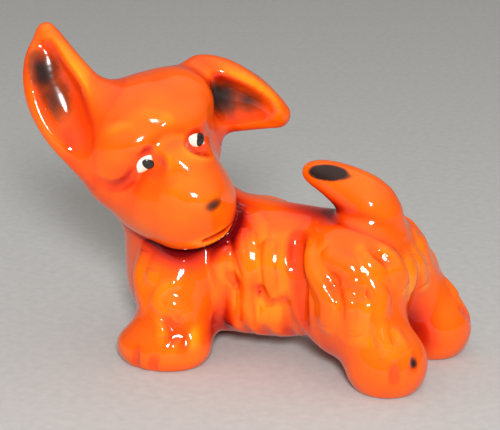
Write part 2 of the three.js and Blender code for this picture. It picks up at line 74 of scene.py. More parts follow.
def point_on(jig, shares):
    return jig["origin"] + (np.array(shares) * jig["sizes"]) @ jig["directions"]


body_jig = make_jig(-MIDDLE, np.eye(3), BODY_SIZES)
print("body jig", body_jig["origin"], body_jig["sizes"])

# %% [markdown]
# ## Lumps of clay
#
# A lump is kept twice: as a few beads, which are rough spheres that a mesh can start from, and as a
# depth, which says how far any point is from the lump's skin and is below zero inside it. Modelling
# with metaballs or sculpting by hand could give the same shapes. Depths are chosen because two of them
# blend with one short formula, and because a mesh can be laid exactly on the blended skin afterwards.

# %% Eggs and rolls
ROLL_BEADS = 7


def egg(jig, shares):
    centre = point_on(jig, shares[:3])
    radii = np.array(shares[3:]) * jig["sizes"]
    directions = jig["directions"]

    def depth(points):
        local = (points - centre) @ directions.T / radii
        reach = np.linalg.norm(local, axis=1)
        slope = np.linalg.norm(local / radii, axis=1)
        return reach * (reach - 1) / np.maximum(slope, TINY)

    return {"depth": depth, "beads": [(centre, radii, directions)], "cuts": []}


def roll(jig, start, end, flat=1.0):
    """A tapered roll between two places, each with a radius. Flat squeezes the jig's third direction."""
    first, last = point_on(jig, start[:3]), point_on(jig, end[:3])
    span, thick, taper = last - first, start[3], end[3] - start[3]
    directions = jig["directions"]
    squeeze = 1 / flat**2 - 1

    def depth(points):
        offset = points - first
        along = np.clip(offset @ span / (span @ span), 0, 1)
        offset = offset - along[:, None] * span
        side = offset @ directions[2]
        reach = np.sqrt(np.sum(offset**2, axis=1) + side**2 * squeeze)
        lean = (side / np.maximum(reach, TINY)) ** 2 * squeeze / flat**2
        return (reach - thick - along * taper) / np.sqrt(1 + lean)

    beads = []
    for share in np.linspace(0, 1, ROLL_BEADS):
        radius = thick + share * taper
        beads.append((first + share * span, np.array([radius, radius, radius * flat]), directions))
    return {"depth": depth, "beads": beads, "cuts": []}


# %% [markdown]
# ## Blending and pressing
#
# Where two lumps of wet clay meet, a finger smooths the crease. Taking the lower of two depths gives a
# sharp crease, and taking a little off it where the two are close gives the fillet that the finger
# leaves. Pressing a tool into the clay is the same thing turned inside out.

# %% Soften, melt, chain and press


def soften(a, b, softness):
    near = np.maximum(softness - np.abs(a - b), 0) / softness
    return np.minimum(a, b) - near**2 * softness / 4


def melt(lumps, softness):
    def depth(points):
        value = lumps[0]["depth"](points)
        for lump in lumps[1:]:
            value = soften(value, lump["depth"](points), softness)
        return value

    beads = [bead for lump in lumps for bead in lump["beads"]]
    return {"depth": depth, "beads": beads, "cuts": [bead for lump in lumps for bead in lump["cuts"]]}


def chain(jig, rows, size, softness, flat=1.0):
    """Rolls through a table of places, each row a place and a radius in shares of one size."""
    ends = [[*row[:3], row[3] * size] for row in rows]
    return melt([roll(jig, start, end, flat) for start, end in zip(ends, ends[1:])], softness)


def eased(rows):
    """The rows of a chain with two more after each, on a smooth curve through them all."""
    rows = np.array(rows, float)
    ends = np.vstack([2 * rows[0] - rows[1], rows, 2 * rows[-1] - rows[-2]])
    smooth = []
    for before, row, after, last in zip(ends, ends[1:], ends[2:], ends[3:]):
        for share in (0, 1 / 3, 2 / 3):
            bend = 2 * before - 5 * row + 4 * after - last
            twist = 3 * row - before - 3 * after + last
            smooth.append(row + ((after - before) * share + bend * share**2 + twist * share**3) / 2)
    return [row.tolist() for row in [*smooth, rows[-1]]]


def press(clay, tool, softness):
    def depth(points):
        return -soften(-clay["depth"](points), tool["depth"](points), softness)

    return {"depth": depth, "beads": clay["beads"], "cuts": [*clay["cuts"], *tool["beads"]]}


print("a fillet of 6 mm takes", round(float(soften(0.0, 0.0, 6.0)), 2), "mm off the crease")

# %% [markdown]
# ## The folds of the coat
#
# The mould has ten bold folds on each side, where the hair of the shoulder, the flank and the haunch
# parts. They could be sculpted into the finished mesh. Here a fold is a line of places on the body's jig
# with a height and a reach, and combing takes it off the depth of the clay, so that the body and the legs
# share their folds. Where two ridges meet, the cube root of their summed cubes keeps the higher one and
# softens the crease between them.

# %% Folds combed into the coat
FOLD_HEIGHT = 1.5 * MM
FOLD_REACH = 3.8 * MM
RIDGE_END = 0.3
RIDGE_TAPER = 0.7
FOLDS = [
    (0.8, [
        [-0.083, -0.404, 0.782], [-0.083, -0.447, 0.669], [-0.072, -0.441, 0.518],
        [-0.076, -0.384, 0.333],
    ]),
    (1, [
        [-0.031, -0.321, 0.885], [-0.011, -0.411, 0.756], [0.009, -0.441, 0.628], [0.003, -0.404, 0.436],
        [-0.008, -0.361, 0.282],
    ]),
    (0.8, [
        [0.064, -0.354, 0.831], [0.077, -0.431, 0.692], [0.087, -0.431, 0.526], [0.079, -0.377, 0.333],
    ]),
    (-1, [
        [0.156, -0.347, 0.854], [0.167, -0.444, 0.764], [0.187, -0.507, 0.651], [0.189, -0.514, 0.521],
        [0.193, -0.487, 0.367],
    ]),
    (0.9, [
        [0.218, -0.484, 0.795], [0.254, -0.581, 0.679], [0.282, -0.627, 0.567], [0.286, -0.621, 0.408],
    ]),
    (1, [
        [0.292, -0.534, 0.821], [0.342, -0.554, 0.785], [0.367, -0.607, 0.667], [0.364, -0.651, 0.538],
        [0.362, -0.664, 0.385],
    ]),
    (1, [
        [0.382, -0.454, 0.872], [0.411, -0.507, 0.764], [0.437, -0.531, 0.626], [0.446, -0.567, 0.497],
        [0.479, -0.627, 0.349],
    ]),
    (0.8, [[0.436, -0.331, 0.851], [0.466, -0.311, 0.744], [0.483, -0.277, 0.626]]),
    (0.7, [[0.472, 0.033, 0.772], [0.487, 0.073, 0.662], [0.493, 0.116, 0.546]]),
    (0.7, [[-0.326, -0.521, 0.7], [-0.333, -0.581, 0.531], [-0.299, -0.694, 0.392]]),
]


def nearest_on_line(points, line):
    """How far each point is from the line, and how far along the line its nearest place is, from 0 to 1."""
    nearest, share = np.full(len(points), np.inf), np.zeros(len(points))
    for number, (start, end) in enumerate(zip(line, line[1:])):
        span = end - start
        along = np.clip((points - start) @ span / (span @ span), 0, 1)
        reach = np.linalg.norm(points - start - along[:, None] * span, axis=1)
        share = np.where(reach < nearest, (number + along) / (len(line) - 1), share)
        nearest = np.minimum(nearest, reach)
    return nearest, share


def relief(points, lines):
    """How far the ridges near each point push the skin out, less how far the grooves press it in."""
    ridge, groove = np.zeros(len(points)), np.zeros(len(points))
    for height, reach, line in lines:
        low, high = line.min(axis=0) - reach, line.max(axis=0) + reach
        close = np.flatnonzero(np.all((points > low) & (points < high), axis=1))
        if len(close):
            distance, share = nearest_on_line(points[close], line)
            fade = np.maximum(1 - (distance / reach) ** 2, 0) ** 2
            middle = np.sin(np.pi * np.clip(share, 0, 1)) ** RIDGE_TAPER
            push = abs(height) * fade * (RIDGE_END + (1 - RIDGE_END) * middle)
            side = ridge if height > 0 else groove
            side[close] = np.cbrt(side[close] ** 3 + push**3)
    return ridge - groove


def comb(clay, lines):
    return {**clay, "depth": lambda points: clay["depth"](points) - relief(points, lines)}


# %% [markdown]
# ## The body
#
# The trunk is a chest, a brisket, ribs, a loin, a rump and the long hair under the belly. Shoulders and
# haunches are eggs on its sides, and the neck is a tapered roll that leans forward and carries the head,
# with a ruff of hair in front. All of it is one hollow casting on the real figure.

# %% The body's clay
TRUNK = [
    [-0.275, 0, 0.56, 0.194, 0.467, 0.436],
    [-0.262, 0, 0.333, 0.175, 0.433, 0.282],
    [-0.075, 0, 0.615, 0.25, 0.45, 0.385],
    [0.15, 0, 0.628, 0.2125, 0.433, 0.346],
    [0.319, 0, 0.641, 0.1625, 0.433, 0.333],
    [0, 0, 0.295, 0.25, 0.367, 0.18],
]
QUARTERS = [
    [-0.2375, -0.3, 0.46, 0.1125, 0.267, 0.333],
    [-0.2375, 0.3, 0.46, 0.1125, 0.267, 0.333],
    [0.3125, -0.3, 0.538, 0.1625, 0.317, 0.423],
    [0.344, 0.283, 0.538, 0.144, 0.3, 0.385],
]
NECK = [[-0.2625, 0, 0.77, 0.45], [-0.3875, -0.167, 1.28, 0.383]]
RUFF = [-0.4125, -0.233, 1.128, 0.1, 0.3, 0.308]
BODY_BLEND = 6 * MM

body_width = body_jig["sizes"][1]
trunk = melt([egg(body_jig, row) for row in TRUNK], BODY_BLEND)
neck = melt([chain(body_jig, NECK, body_width, BODY_BLEND), egg(body_jig, RUFF)], BODY_BLEND)
plain_body = melt([trunk, *[egg(body_jig, row) for row in QUARTERS], neck], BODY_BLEND)


def mirrored(line):
    return [line, [[x, -y, z] for x, y, z in line]]


fold_lines = [
    (share * FOLD_HEIGHT, FOLD_REACH, np.array([point_on(body_jig, place) for place in side]))
    for share, line in FOLDS
    for side in mirrored(line)
]
body = comb(plain_body, fold_lines)
print("lumps in the body", len(body["beads"]))

# %% [markdown]
# ## The legs and the tail
#
# A leg is a short roll, the shin, that runs down into an egg, the paw. The fore paws are long and low
# and the hind ones rounder. The tail stands up from the rump and bends forward to a blunt end.

# %% The clay of the legs and the tail
FORE_PAW = [-0.03, 0, 0.18, 0.47, 0.5, 0.34]
HIND_PAW = [0, 0, 0.3, 0.37, 0.46, 0.42]
LEGS = {
    "front_left_leg": (FORE_PAW, 0.5, [-0.245, -0.583], [0.05, 0.13, 0.45], [0.05, 0.31, 1]),
    "front_right_leg": (FORE_PAW, 0.5, [-0.265, 0.5], [0.14, -0.05, 0.45], [0.13, -0.2, 1]),
    "hind_left_leg": (HIND_PAW, 0.45, [0.45, -0.417], [-0.02, 0.03, 0.35], [-0.28, 0.08, 0.9]),
    "hind_right_leg": (HIND_PAW, 0.45, [0.4875, 0.467], [-0.02, 0, 0.4], [-0.24, -0.16, 0.9]),
}
TAIL = [
    [0, 0, 0, 0.507],
    [-0.06, -0.067, 0.5, 0.385],
    [-0.4, -0.067, 0.76, 0.3],
    [-0.74, -0.067, 0.92, 0.205],
    [-1.01, -0.067, 0.98, 0.12],
]
LEG_SIZES = [25 * MM, 19 * MM, 20 * MM]
TAIL_SIZES = [16 * MM, 15 * MM, 14 * MM]
LEG_BLEND = 4 * MM
TAIL_BLEND = 3 * MM
CRISP_BLEND = 2.2 * MM


def make_leg(paw, thickness, place, foot, root):
    jig = make_jig(point_on(body_jig, [*place, 0]), np.eye(3), LEG_SIZES)
    shin = chain(jig, [[*root, thickness], [*foot, thickness]], jig["sizes"][1], LEG_BLEND)
    return comb(melt([shin, egg(jig, paw)], LEG_BLEND), fold_lines)


legs = {name: make_leg(*row) for name, row in LEGS.items()}
tail_jig = make_jig(point_on(body_jig, [0.35, 0, 0.872]), np.eye(3), TAIL_SIZES)
tail = chain(tail_jig, eased(TAIL), tail_jig["sizes"][1], CRISP_BLEND)
print("legs", sorted(legs))

# %% [markdown]
# ## The head
#
# The dog looks back over its left shoulder, so the head's jig is rolled, nodded and turned, and the face
# is modelled straight on it. Skull, muzzle, beard, bridge, cheeks, jowl and brows are eggs, and a short
# roll is the ridge of the nose. A very large egg pressed up from below cuts the chin off level, small
# ones press the eye sockets, and one pressed into the lip opens the corner of the mouth. Last, shallow
# creases are combed in under the cheek, over the lid and across the forehead.

# %% The head's clay
HEAD_TURN, HEAD_NOD, HEAD_ROLL = (math.radians(angle) for angle in (142.5, 1.6, 13.9))
HEAD_RISE = 17.8 * MM
HEAD_SIZES = [40 * MM, 29 * MM, 38 * MM]
SKULL = [
    [0, 0, 0, 0.3625, 0.5, 0.342],
    [0.125, -0.017, -0.21, 0.275, 0.359, 0.29],
    [-0.08, -0.25, 0.11, 0.24, 0.26, 0.2],
    [0, 0.3, 0.1, 0.24, 0.27, 0.2],
    [0.08, -0.06, 0.06, 0.22, 0.4, 0.2],
]
MUZZLE = [
    [0.225, -0.034, -0.382, 0.375, 0.414, 0.329],
    [0.35, -0.034, -0.474, 0.2875, 0.372, 0.263],
    [0.35, 0, -0.2, 0.225, 0.224, 0.184],
    [0.49, -0.05, -0.33, 0.15, 0.22, 0.12],
]
CHEEKS = [
    [0, -0.414, -0.184, 0.2, 0.276, 0.263],
    [-0.025, 0.345, -0.22, 0.2, 0.24, 0.263],
    [0.1, -0.28, -0.4, 0.27, 0.25, 0.24],
]
BROWS = [
    [0.235, -0.265, 0.04, 0.1, 0.2, 0.085],
    [0.265, 0.125, 0.06, 0.1, 0.19, 0.08],
    [0.11, -0.41, -0.045, 0.15, 0.17, 0.16],
    [0.3875, -0.097, -0.084, 0.078, 0.105, 0.08],
]
NOSE_RIDGE = [[0.49, -0.172, -0.252, 0.102], [0.585, -0.03, -0.335, 0.097]]
NOSE_BLEND = 2.7 * MM
CREASES = [
    (-0.4, 2.4, [
        [0.1, -0.648, -0.158], [0.14, -0.61, -0.184], [0.178, -0.548, -0.205], [0.213, -0.49, -0.192],
        [0.24, -0.434, -0.166], [0.248, -0.397, -0.118], [0.253, -0.376, -0.074],
    ]),
    (-0.3, 1.6, [[0.303, -0.341, -0.005], [0.333, -0.279, 0.018], [0.345, -0.21, -0.005]]),
    (0.25, 2.4, [
        [0.222, -0.322, 0.202], [0.266, -0.178, 0.22], [0.335, -0.042, 0.158], [0.367, -0.027, 0.101],
    ]),
    (0.22, 2.2, [[0.146, -0.497, 0.136], [0.212, -0.39, 0.171], [0.275, -0.285, 0.172]]),
]
SOCKETS = [[0.415, -0.325, -0.07, 0.058, 0.1, 0.058], [0.442, 0.155, -0.039, 0.06, 0.12, 0.062]]
MOUTH = [0.62, 0.06, -0.59, 0.08, 0.198, 0.02]
CHIN_CUT = [0.2, 0, -1.666, 2, 2, 1]
HEAD_BLEND = 4 * MM
LIP_BLEND = 0.8 * MM


def head_directions():
    turn = Matrix.Rotation(HEAD_TURN, 3, "Z")
    nod = Matrix.Rotation(HEAD_NOD, 3, (0, -1, 0))
    tilt = Matrix.Rotation(HEAD_ROLL, 3, (-1, 0, 0))
    return [turn @ nod @ tilt @ Vector(axis) for axis in ((-1, 0, 0), (0, -1, 0), (0, 0, 1))]


head_place = point_on(body_jig, [-0.34, -0.267, 1]) + np.array([0, 0, HEAD_RISE])
head_jig = make_jig(head_place, head_directions(), HEAD_SIZES)
head = melt([egg(head_jig, row) for row in [*SKULL, *MUZZLE, *CHEEKS, *BROWS]], HEAD_BLEND)
head = melt([head, chain(head_jig, NOSE_RIDGE, head_jig["sizes"][1], CRISP_BLEND)], NOSE_BLEND)
head = press(head, egg(head_jig, CHIN_CUT), CRISP_BLEND)
for row in SOCKETS:
    head = press(head, egg(head_jig, row), CRISP_BLEND)
head = press(head, egg(head_jig, MOUTH), LIP_BLEND)
crease_lines = [
    (height * MM, reach * MM, np.array([point_on(head_jig, place) for place in line]))
    for height, reach, line in CREASES
]
head = comb(head, crease_lines)
print("head jig", np.round(head_jig["origin"] / MM, 1), "mm")

# %% [markdown]
# ## The ears
#
# Each ear is a leaf of clay with one thick rolled edge and a bowl pressed into its face. Its jig runs
# along the ear, across it and out of the bowl, so the leaf, the rolled edge and the bowl are each a chain
# of flattened rolls in the same three directions. More rows are put between those of the tables, on a
# smooth curve, so that no corner shows along the rim.

# %% The clay of the ears
EARS = {
    "right_ear": {
        "jig": ([-0.075, -0.6, 0.026], [-0.5, 0.1, 1], [1, -0.15, 0.25]),
        "leaf": [
            [0, -0.12, -0.1, 0.4], [0.22, -0.02, 0, 0.44], [0.45, 0.05, 0, 0.42], [0.66, 0.06, 0, 0.33],
            [0.82, 0.025, 0, 0.2], [0.94, -0.02, 0, 0.09],
        ],
        "edge": [
            [0.1, -0.5, 0.05, 0.2], [0.26, -0.36, 0.15, 0.2], [0.45, -0.24, 0.18, 0.18],
            [0.7, -0.12, 0.16, 0.13], [0.95, -0.02, 0.05, 0.09],
        ],
        "bowl": [
            [0, 0, 0.6, 0.26], [0.25, 0.09, 0.45, 0.25], [0.45, 0.12, 0.42, 0.23],
            [0.62, 0.13, 0.4, 0.17], [0.78, 0.1, 0.36, 0.1],
        ],
    },
    "left_ear": {
        "jig": ([-0.075, 0.414, 0.04], [0.35, 1, -0.52], [1, 0.1, 0.15]),
        "leaf": [
            [0.16, 0.1, 0, 0.44], [0.33, 0.11, 0, 0.42], [0.51, 0.1, 0, 0.34], [0.67, 0.05, 0, 0.23],
            [0.8, 0, 0, 0.13],
        ],
        "edge": [
            [0.06, 0.4, 0, 0.17], [0.22, 0.4, 0.15, 0.17], [0.4, 0.34, 0.26, 0.15],
            [0.62, 0.2, 0.2, 0.12], [0.8, 0.03, 0.05, 0.11],
        ],
        "bowl": [
            [0.08, 0.03, 0.55, 0.26], [0.3, 0.04, 0.5, 0.25], [0.48, 0.04, 0.46, 0.19],
            [0.63, 0.02, 0.42, 0.11],
        ],
    },
}
EAR_SIZES = [30 * MM, 20 * MM, 10 * MM]
LEAF_FLAT, BOWL_FLAT = 0.42, 0.75
EAR_BLEND = 4.5 * MM
EDGE_BLEND = 0.8 * MM
HEAD_FILLET = 1 * MM


def make_ear_jig(root, along, facing):
    along = np.array(along) @ head_jig["directions"]
    facing = np.array(facing) @ head_jig["directions"]
    along /= np.linalg.norm(along)
    across = np.cross(facing, along)
    across /= np.linalg.norm(across)
    directions = [along, across, np.cross(along, across)]
    return make_jig(point_on(head_jig, root), directions, EAR_SIZES)


def make_ear(jig, leaf, edge, bowl):
    width = jig["sizes"][1]
    leaf, edge, bowl = eased(leaf), eased(edge), eased(bowl)
    lumps = [chain(jig, leaf, width, EDGE_BLEND, LEAF_FLAT), chain(jig, edge, width, EDGE_BLEND)]
    return press(melt(lumps, CRISP_BLEND), chain(jig, bowl, width, EDGE_BLEND, BOWL_FLAT), CRISP_BLEND)


ear_jigs = {name: make_ear_jig(*row["jig"]) for name, row in EARS.items()}
ears = {name: make_ear(ear_jigs[name], row["leaf"], row["edge"], row["bowl"]) for name, row in EARS.items()}
print("ears", sorted(ears))

# %% [markdown]
# ## Laying a mesh on the skin
#
# A mesh is moved onto the skin by rolling every vertex down the slope of the depth, which is how a point
# finds the nearest place where the depth is zero. The slope is read from four probes around the point.

# %% Slope and settle
PROBES = np.array([(1, 1, 1), (1, -1, -1), (-1, 1, -1), (-1, -1, 1)])
PROBE_REACH = 0.05 * MM
LEAST_STEEPNESS = 0.04


def slope_of(depth, points, reach):
    total = np.zeros_like(points)
    for probe in PROBES:
        total += probe * depth(points + probe * reach)[:, None]
    return total / (4 * reach)


def settle(depth, points, passes, longest):
    """Moves points onto the skin, no further than longest in one pass."""
    for _ in range(passes):
        slope = slope_of(depth, points, PROBE_REACH)
        steep = np.maximum(np.sum(slope**2, axis=1), LEAST_STEEPNESS)
        move = (depth(points) / steep)[:, None] * slope
        length = np.linalg.norm(move, axis=1, keepdims=True)
        points = points - move * np.minimum(1, longest / np.maximum(length, TINY))
    return points


print("settled", settle(body["depth"], np.array([[0.0, -0.02, 0.025]]), 4, 2 * MM) / MM, "mm")

# %% [markdown]
# ## Locks of hair
#
# The modeller drew the coat with a tool while the clay was soft: wavy locks down the flanks, bolder ones
# that flow over the haunch and down to the paw, a scooped curl above the elbow and creases at the ankles
# and toes. Each lock is a line of points on the skin with a height and a half-width. A height below zero
# is a groove. They are geometry rather than bump, so they also show in the outline and in an export.

# %% The lines of the locks
LOCKS = [
    (0.45, 1.3, [[-4, -11, 30.5], [-4, -12.3, 26.1], [-3.1, -12.1, 20.2]]),
    (0.45, 1.2, [[-2.5, -11.6, 29.1], [-0.1, -12.2, 25.1], [2.6, -11.8, 20.7]]),
    (0.55, 1.2, [[-0.2, -9.5, 33.1], [1.3, -11.2, 29.5], [3.6, -12.1, 24.5], [3.1, -11, 17.4]]),
    (0.4, 1.1, [[2.9, -10.1, 31.9], [3.9, -11.8, 27.5], [5.3, -12, 22.7]]),
    (0.45, 1.1, [[5.1, -10.3, 31.3], [5.6, -11.9, 26.5], [6, -11.6, 20.6]]),
    (0.4, 1, [[7.3, -9.9, 31.9], [8.4, -11.9, 26.6], [9.1, -11.7, 21.1]]),
    (0.4, 1, [[9.1, -9.2, 33], [9.6, -11.7, 27.7], [10.5, -12, 22.4]]),
    (0.5, 1.2, [[11.7, -8.6, 33.6], [12.2, -11.7, 28.1], [13.3, -12.4, 20.9]]),
    (0.6, 1.6, [
        [-1.4, -5.9, 36.7], [1.4, -6.4, 36.2], [3.9, -7.9, 34.7], [4.5, -9.3, 32.9], [2.6, -9.8, 32.3],
    ]),
    (0.4, 1.5, [[-1.1, -11.7, 19.6], [-0.7, -10.8, 14.6], [-2.4, -9.5, 9.2]]),
    (0.4, 1.5, [[2.3, -11, 16.7], [3.2, -10.6, 13.1], [1.8, -9.2, 8.7]]),
    (0.4, 1.5, [[6.6, -11.4, 19.5], [7.6, -10.5, 15.8], [6.3, -9.8, 10.1]]),
    (0.4, 1.5, [[11.4, -11.5, 19.8], [11.1, -10.2, 15.1], [9.8, -9.3, 10.2]]),
    (-0.5, 1, [[4.9, -11.7, 20.7], [7, -11.7, 20.7], [8.5, -10.7, 17.3], [12.4, -11.3, 18.3]]),
    (-0.6, 1.2, [[-2.4, -12.4, 23.7], [0.6, -12.1, 21.8], [1.8, -11.8, 20.5]]),
    (-0.8, 1.5, [
        [15.1, -9.3, 33.3], [16, -12.2, 29.8], [18, -14.7, 25.4], [17.8, -14.7, 20.3],
        [18.1, -13.5, 14.3],
    ]),
    (0.7, 1.6, [
        [18.5, -11.6, 33], [21, -15.2, 28.5], [24.1, -16.8, 25.2], [26.3, -17.8, 22.1],
        [25.5, -17.5, 15.9],
    ]),
    (0.6, 1.5, [[26.5, -17.1, 25.4], [29, -18.3, 21.7], [29.9, -18.6, 16]]),
    (0.9, 2, [
        [23.6, -13.8, 33.4], [28, -15.5, 31.1], [31.4, -15.3, 30.5], [33, -15.6, 28.3],
        [32.7, -16.6, 26.1],
    ]),
    (0.7, 1.7, [[30.3, -17.4, 25.1], [32.1, -18.2, 22.2], [32.2, -18.8, 16.4]]),
    (0.7, 1.7, [[32.4, -12.7, 34.2], [34.7, -13.5, 31.3], [36.9, -12.7, 29.6], [39, -11.5, 27.3]]),
    (0.7, 1.8, [
        [33.8, -15.1, 28.8], [36, -14.9, 26.3], [38, -14.8, 23.3], [38.1, -16.3, 19.4],
        [36.9, -18.2, 15.4],
    ]),
    (0.6, 1.5, [[33.8, -16.9, 24.5], [35.1, -17.6, 20.9], [34.4, -18.7, 15.2]]),
    (0.8, 1.6, [[38.3, -16.1, 19.4], [39.5, -17.2, 15.2], [42.3, -17.9, 12.2]]),
    (0.8, 1.6, [[40.7, -15.1, 16.9], [43, -15.7, 13.9], [44.8, -16, 11.9]]),
    (0.6, 1.8, [[37.1, -9.1, 33.2], [39.5, -8.2, 29.8], [41.1, -7.2, 25.2]]),
    (-0.7, 1.2, [[33.5, -11, 35.1], [35.1, -11.9, 33.1], [37.6, -10.5, 31.5], [39.1, -8.2, 30.7]]),
    (-0.7, 1.3, [[29.5, -16.7, 27.2], [31.5, -17.2, 25.2], [35.1, -16.4, 24.5]]),
    (-0.6, 1.2, [[27.3, -16.7, 27.6], [30.3, -18.1, 22.9], [31.2, -18.7, 15]]),
    (-0.6, 1.1, [[40.6, -16, 15.9], [42, -16.5, 14.1], [43, -16.5, 13.2]]),
    (0.6, 1.2, [
        [-12.5, -19.3, 21.8], [-14.8, -20.2, 20.7], [-16.4, -20.8, 18.9], [-17, -21.3, 16.9],
        [-15.1, -21.9, 15.1], [-12.7, -22, 13.2],
    ]),
    (0.5, 1.4, [[-14.7, -21.1, 17.7], [-12.4, -20.9, 16.5], [-10.3, -20.2, 15]]),
    (-0.5, 1.1, [[-14.5, -22.1, 14.3], [-12.8, -22.5, 12], [-12, -23, 10]]),
    (-0.5, 1.1, [[-11.1, -21.5, 12.5], [-10.9, -22.5, 10], [-12.2, -23.8, 8.5]]),
    (0.4, 1.3, [[-16.3, -22.4, 13.8], [-14.3, -23.2, 11.3], [-13.9, -24, 9.1]]),
    (-0.5, 0.8, [[-20.5, -25.1, 5.6], [-20.6, -25.5, 3.6], [-20.9, -24.5, 0.8]]),
    (-0.5, 0.8, [[-15.3, -25.8, 4.3], [-15.9, -25.7, 2.6], [-16.3, -24.9, 0.7]]),
    (-0.5, 0.9, [[46.6, -14.5, 10.6], [46.9, -15.4, 9], [46.8, -16.3, 7.5]]),
    (-0.5, 0.9, [[43.4, -18.9, 9.3], [43.4, -19.5, 7], [43.3, -19.5, 4.9]]),
    (-0.5, 1.6, [[-3.7, -12.5, 22.6], [-3.1, -11.5, 17.1], [-3.6, -10.9, 12.1], [-5.3, -11.5, 9.2]]),
    (0.5, 1.8, [[-23.9, -15.2, 24.3], [-24, -16.3, 19.7], [-21.3, -19.7, 16.3]]),
    (0.45, 1.6, [[-19.4, -18.3, 24.3], [-19.7, -19.5, 20.1]]),
    (0.5, 1.5, [[40.4, 2.1, 30.1], [41.6, 3.3, 25.8], [42.1, 4.6, 21.3]]),
]

# %% [markdown]
# The far side has the same coat, so every line is also mirrored across the body and settled on the far
# flank. Two factors raise all the locks and spread them: a lock's push fades to nothing at twice its
# half-width. Only the points in its box are looked at, because a coat of locks against a whole mesh
# would be slow.

# %% The push of the locks
LOCK_RISE = 1.4 * MM
LOCK_SPREAD = 2.0 * MM
whole_body = body
for leg in legs.values():
    whole_body = melt([whole_body, leg], LEG_BLEND)
whole_body = melt([whole_body, tail], TAIL_BLEND)


def both_sides(line):
    near = np.array(line, float) * MM
    far = near * np.array([1, -1, 1])
    return [settle(whole_body["depth"], side, 6, 2 * MM) for side in (near, far)]


lock_lines = [
    (LOCK_RISE * height, LOCK_SPREAD * half, line)
    for height, half, rows in LOCKS
    for line in both_sides(rows)
]
print("lock lines", len(lock_lines))

# %% [markdown]
# ## The fringe, the soles and the vent
#
# The hair under the belly ends in a wavy edge, the soles are ground flat and left bare, and a slip-cast
# figure needs one vent for the air of the kiln, which is put where it doesn't show, under the belly. The
# finished skin is the blended clay, pushed out by the locks and cut by the ground.

# %% The finished skin
VENT_RADIUS = 2.5 * MM
VENT_BLEND = 0.6 * MM
VENT = [[0, 0, -0.1, VENT_RADIUS], [0, 0, 0.32, VENT_RADIUS]]
FRINGE_WAVE = 0.5 * MM
FRINGE_HEIGHT, FRINGE_BAND, FRINGE_END, FRINGE_SIDE = 8.5, 2.2, 15, 5
FRINGE_PITCH, FRINGE_SWING = 1.15, 0.5
SOLE_EDGE = 0.5 * MM
SINK = 0.05 * MM

torso = press(body, roll(body_jig, *VENT), VENT_BLEND)


def fringe(points):
    x, y, z = (points - body_jig["origin"]).T / MM
    low = np.exp(-(((z - FRINGE_HEIGHT) / FRINGE_BAND) ** 2))
    long_side = np.clip(1 - (x / FRINGE_END) ** 4, 0, 1) * np.clip(np.abs(y) / FRINGE_SIDE - 0.6, 0, 1)
    return FRINGE_WAVE * low * long_side * np.sin(x * FRINGE_PITCH + 0.6 * np.sin(x * FRINGE_SWING))


def stand(depth, raised=None):
    """The same depth with the ground cutting it off level, after what is raised has been added to it."""

    def stood(points):
        value = depth(points)
        if raised:
            value = value - raised(points)
        return -soften(-value, points[:, 2], SOLE_EDGE)

    return stood


def coat(points):
    return relief(points, lock_lines) + fringe(points)


def seat_on(piece, base, softness):
    """The piece with a fillet that runs out over its base and dives just under the base's skin."""

    def depth(points):
        own = piece["depth"](points)
        under = base["depth"](points) + SINK
        return np.maximum(soften(own, under, softness), own - softness)

    return {"depth": depth, "beads": piece["beads"], "cuts": piece["cuts"]}


print("fringe at the belly", fringe(np.array([[0.0, -0.012, 0.0085]])) / MM, "mm")

# %% [markdown]
# ## From lumps to a mesh
#
# The beads are icospheres in a bmesh. A voxel remesh fuses them into one closed mesh of even squares,
# which then settles on the skin. A second, finer remesh evens out what was stretched, a light smoothing
# spreads the vertices, and the last settling puts them exactly on the skin. The normals are read from the
# slope as well, so that highlights run smoothly over the seams between pieces.

# %% Knead, smooth and lay
GRAIN_SCALE = 1.0
ROUGH_GRAIN = 1.6


def bead_mesh(name, beads, swell=0.0):
    bm = bmesh.new()
    for centre, radii, directions in beads:
        turn = Matrix(directions.tolist()).transposed().to_4x4()
        size = Matrix.Diagonal((*(radii + swell), 1))
        place = Matrix.Translation(centre) @ turn @ size
        bmesh.ops.create_icosphere(bm, subdivisions=3, radius=1, matrix=place)
    mesh = bpy.data.meshes.new(name)
    bm.to_mesh(mesh)
    bm.free()
    piece = bpy.data.objects.new(name, mesh)
    bpy.context.scene.collection.objects.link(piece)
    return piece


def knead(piece, grain):
    fuse = piece.modifiers.new("fuse", "REMESH")
    fuse.mode = "VOXEL"
    fuse.voxel_size = grain
    kneaded = piece.evaluated_get(bpy.context.evaluated_depsgraph_get())
    mesh = bpy.data.meshes.new_from_object(kneaded)
    piece.modifiers.clear()
    piece.data = mesh


def carve(piece, beads, grain):
    """Takes what the tools press away out of the rough mesh."""
    tool = bead_mesh(piece.name + "_tool", beads)
    knead(tool, grain)
    cut = piece.modifiers.new("cut", "BOOLEAN")
    cut.object = tool
    cut.solver = "MANIFOLD"
    carved = piece.evaluated_get(bpy.context.evaluated_depsgraph_get())
    mesh = bpy.data.meshes.new_from_object(carved)
    mesh.materials.clear()
    piece.modifiers.clear()
    piece.data = mesh
    bpy.data.objects.remove(tool)


def spread(piece, times):
    bm = bmesh.new()
    bm.from_mesh(piece.data)
    axes = {"use_axis_x": True, "use_axis_y": True, "use_axis_z": True}
    for _ in range(times):
        bmesh.ops.smooth_vert(bm, verts=bm.verts, factor=0.5, **axes)
    bm.to_mesh(piece.data)
    bm.free()


def places_of(piece):
    places = np.empty(len(piece.data.vertices) * 3)
    piece.data.vertices.foreach_get("co", places)
    return places.reshape(-1, 3)


def lay_on(piece, depth, passes, longest):
    places = settle(depth, places_of(piece), passes, longest)
    piece.data.vertices.foreach_set("co", places.ravel())
    piece.data.update()
